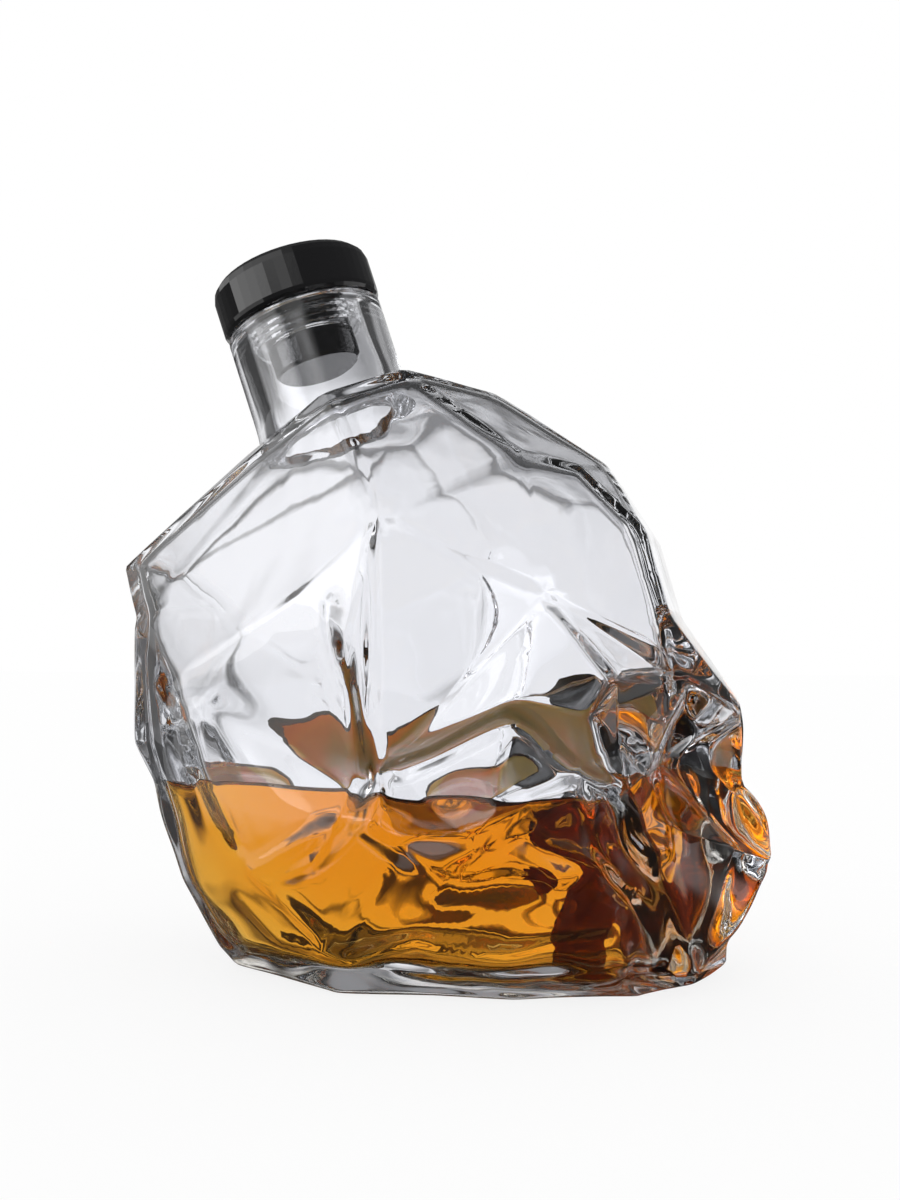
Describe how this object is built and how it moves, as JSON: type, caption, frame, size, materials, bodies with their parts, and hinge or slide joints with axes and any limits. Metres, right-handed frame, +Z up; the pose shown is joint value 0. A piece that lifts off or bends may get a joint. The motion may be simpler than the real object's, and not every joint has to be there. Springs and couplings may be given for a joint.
{
  "type": "skull-shaped glass whisky bottle with stopper",
  "caption": "Clear faceted glass skull decanter with a leaning round neck and a black lift-out stopper, partly filled with whisky, standing on its flat base.",
  "frame": {"origin": "middle of the bounding box in plan, on the surface that the flat base stands on", "axes": "+X the way the skull faces, +Y the skull's left side, +Z up; the neck leans back in the XZ plane"},
  "size_m": [0.173, 0.1272, 0.1937],
  "materials": {
    "clear_glass": "fire-polished clear flint glass with soft mould edges",
    "whisky": "still amber liquid",
    "black_cap": "polished black",
    "black_plug": "moulded black, slightly softer than the cap",
    "clear_silicone": "translucent silicone"
  },
  "bodies": {
    "bottle": {"glass_body": "clear_glass", "whisky": "whisky"},
    "stopper": {"stopper_cap": "black_cap", "stopper_plug": "black_plug", "stopper_seal": "clear_silicone"}
  },
  "joints": [
    {"name": "stopper_lift", "type": "slide", "parent": "bottle", "child": "stopper", "axis": [-0.3173, 0, 0.9483], "range_m": [0, 0.035]}
  ]
}
